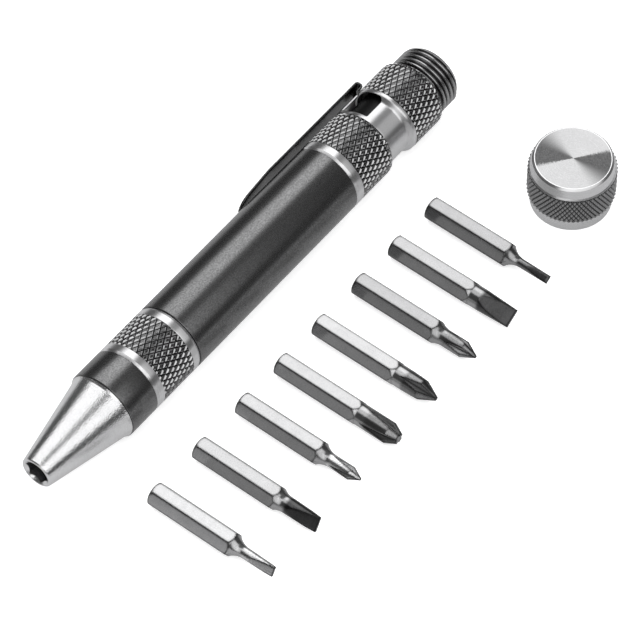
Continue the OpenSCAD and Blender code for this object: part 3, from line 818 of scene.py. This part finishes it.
def shank_cover(name, shaft_r):
    """Hexagon and hollow neck of a bit, a hair over the solid's. They cover the nicks that the cuts of the
    solid's tip leave behind its shoulder."""
    per_face = 8
    corner_r = BIT_AF / 2 / math.cos(math.pi / 6)
    neck = SHOULDER + EDGE_BREAK
    neck_end = neck + math.sqrt(NECK_CURVE ** 2 - (NECK_CURVE - corner_r + EDGE_BREAK + shaft_r) ** 2)
    points = np.array([v.co[:] for v in nodes[name].data.vertices]) * 1000
    mid_x, butt_y = (points[:, 0].min() + points[:, 0].max()) / 2, points[:, 1].max()

    def outline(a):
        if a < BUTT_ROUND:
            return corner_r - BUTT_ROUND + math.sqrt(BUTT_ROUND ** 2 - (BUTT_ROUND - a) ** 2)
        if a < neck:
            return corner_r - max(0.0, a - SHOULDER)
        return shaft_r + NECK_CURVE - math.sqrt(NECK_CURVE ** 2 - (neck_end - a) ** 2)

    def on_bit(a, r, th):
        hex_r = BIT_AF / 2 / math.cos(th % (math.pi / 3) - math.pi / 6)
        out = min(r, hex_r) + COVER if r else 0.0
        x, z = mid_x + out * math.cos(th), BIT_AF / 2 + COVER + out * math.sin(th)
        return (x / 1000, (butt_y + COVER - a) / 1000, z / 1000)

    stations = [BUTT_ROUND * (1 - math.cos(math.pi / 2 * k / 10)) for k in range(11)]
    stations += list(np.linspace(SHOULDER, neck_end - COVER_SHORT, 32))
    profile = [(0.0, 0.0)] + [(a, outline(a)) for a in stations]
    return turned(profile, on_bit, 6 * per_face, closed=False)


def add_bits():
    for name, (tone, tip_reflection_grey) in BITS.items():
        tip_start = min(v.co.y for v in nodes[name].data.vertices) + TIP_LEN / 1000
        # Each bit's steel is a lighter or darker copy: painted shade towards the tail, painted reflection on
        # its tip and painted shade along its edges.
        steel = metal(name + "_steel", 0.8 * tone, 1.2 * tone, 0.15, 0.04, grain=1.2, grain_size=0.16,
                      clouds=0.6, bump=5e-7, tip=(tip_start, tip_reflection_grey), edge=0.62, edge_shade_grey=0.02,
                      mirrored=0.4)
        dress(name, steel, BIT_EDGE, 10)
        if name in COVERED:
            cover = shank_cover(name, COVERED[name] / 2)
            add_mesh(name + "_shank", cover, name + "_piece", steel, sharp=20)


# Floor: pale paper that glows for the camera, and a greyer one where the metal mirrors it, which glows most
# near the middle
def floor_paper():
    camera_glow, mirror_glow, mirror_grey, near_limits = 0.5, 0.3, 0.28, (0.06, 0.3)
    paper = bpy.data.materials.new("paper")
    paper.use_nodes = True
    g = Graph(paper.node_tree)
    rays = g.node("ShaderNodeLightPath").outputs
    mirrored = rays["Is Glossy Ray"]
    spot = g.node("ShaderNodeTexCoord").outputs["Object"]
    far = g.node("ShaderNodeVectorMath", {0: spot}, operation="LENGTH").outputs["Value"]
    near = g.span(far, *near_limits, 1.0, 0.12)
    tone = g.mix(mirrored, (0.86, 0.86, 0.862, 1), g.mix(near, grey(0.0), grey(mirror_grey)))
    sheet = g.node("ShaderNodeBsdfDiffuse", {"Color": tone})
    seen = g.math("MULTIPLY", rays["Is Camera Ray"], camera_glow)
    strength = g.math("ADD", seen, g.math("MULTIPLY", g.math("MULTIPLY", mirrored, near), mirror_glow))
    glow = g.node("ShaderNodeEmission", {"Color": (1, 1, 1, 1), "Strength": strength})
    both = g.node("ShaderNodeAddShader", {0: sheet.outputs[0], 1: glow.outputs[0]})
    g.finish("ShaderNodeOutputMaterial", both.outputs[0])
    return paper


def add_floor():
    half, drop = 3.0, 2e-5
    corners = [(-half, -half, -drop), (half, -half, -drop), (half, half, -drop), (-half, half, -drop)]
    mesh = bpy.data.meshes.new("floor")
    mesh.from_pydata(corners, [], [(0, 1, 2, 3)])
    mesh.materials.append(floor_paper())
    floor = bpy.data.objects.new("floor", mesh)
    bpy.context.scene.collection.objects.link(floor)


# Studio light: soft boxes along the driver, a grey gap between them and dark walls
def studio_level(g):
    direction = g.node("ShaderNodeTexCoord").outputs["Generated"]
    x, y, z = g.node("ShaderNodeSeparateXYZ", {0: direction}).outputs
    rise = g.math("MULTIPLY", g.math("ARCTAN2", z, y), 180 / math.pi)

    def between(low, high, limits, soft):
        above = g.span(low, limits[0] - soft, limits[0] + soft)
        return g.math("MULTIPLY", above, g.span(high, limits[1] - soft, limits[1] + soft, 1.0, 0.0))

    def soft_box(angles, soft, reach, reach_soft, strength, narrowing=0.0):
        """A soft box between two angles round X, which narrows towards +X."""
        taper = g.math("MULTIPLY", x, narrowing)
        sides = between(g.math("SUBTRACT", rise, taper), g.math("ADD", rise, taper), angles, soft)
        return g.math("MULTIPLY", g.math("MULTIPLY", sides, between(x, x, reach, reach_soft)), strength)

    key = soft_box((34, 93), 4, (-0.35, 0.8), 0.08, g.span(x, 0.15, 0.42, 1.12, 1.9), narrowing=18)
    fill = soft_box((114, 155), 5, (-0.97, 0.35), 0.12, 1.18)
    gap = soft_box((84, 118), 4, (-0.35, 0.8), 0.08, 0.1)
    beside = soft_box((94, 118), 4, (-0.97, -0.14), 0.06, 1.1)
    walls = 0.1
    return g.math("ADD", g.math("ADD", key, fill), g.math("ADD", g.math("ADD", gap, beside), walls))


def add_studio():
    world = bpy.data.worlds.new("studio")
    bpy.context.scene.world = world
    world.use_nodes = True
    g = Graph(world.node_tree)
    lit = g.node("ShaderNodeBackground", {"Color": (1, 1, 1, 1), "Strength": studio_level(g)})
    plain = g.node("ShaderNodeBackground", {"Color": (0.95, 0.95, 0.955, 1), "Strength": 1.0})
    seen = g.node("ShaderNodeLightPath").outputs["Is Camera Ray"]
    both = g.node("ShaderNodeMixShader", {0: seen, 1: lit.outputs[0], 2: plain.outputs[0]})
    g.finish("ShaderNodeOutputWorld", both.outputs[0])
    world.cycles.sampling_method = "MANUAL"
    world.cycles.sample_map_resolution = 1024


def add_paper_light():
    """A wide light for the paper, which the metal doesn't mirror."""
    lamp = bpy.data.lights.new("paper_light", "AREA")
    lamp.shape = "DISK"
    lamp.size = 5.0
    lamp.energy = 50.0
    lamp_obj = bpy.data.objects.new("paper_light", lamp)
    bpy.context.scene.collection.objects.link(lamp_obj)
    lamp_obj.location = (0, 0, 1.5)
    lamp_obj.visible_glossy = False
    lamp_obj.visible_camera = False


# Camera, fitted to the photograph
def add_camera():
    focal_px, photo_px, distance = 4823, 640, 0.811
    target = Vector((0.000985, 0.001776, 0.0))
    look = Vector((0.4618, 0.3622, -0.8096)).normalized()
    right = Vector((0.6172, -0.7868, 0.0)).normalized()
    up = right.cross(look)
    spot = target - distance * look
    data = bpy.data.cameras.new("camera")
    data.sensor_width = 36
    data.lens = focal_px / photo_px * data.sensor_width
    data.clip_start = 0.01
    camera = bpy.data.objects.new("camera", data)
    bpy.context.scene.collection.objects.link(camera)
    rows = [(right[k], up[k], -look[k], spot[k]) for k in range(3)]
    camera.matrix_world = Matrix((*rows, (0, 0, 0, 1)))
    return camera


add_driver()
add_clip()
add_cap()
add_bits()
dress("socket_magnet", MAGNET, MAGNET_EDGE, 28)
add_floor()
add_studio()
add_paper_light()

scene = bpy.context.scene
scene.view_settings.view_transform = "Standard"
scene.view_settings.look = "None"
scene.camera = add_camera()
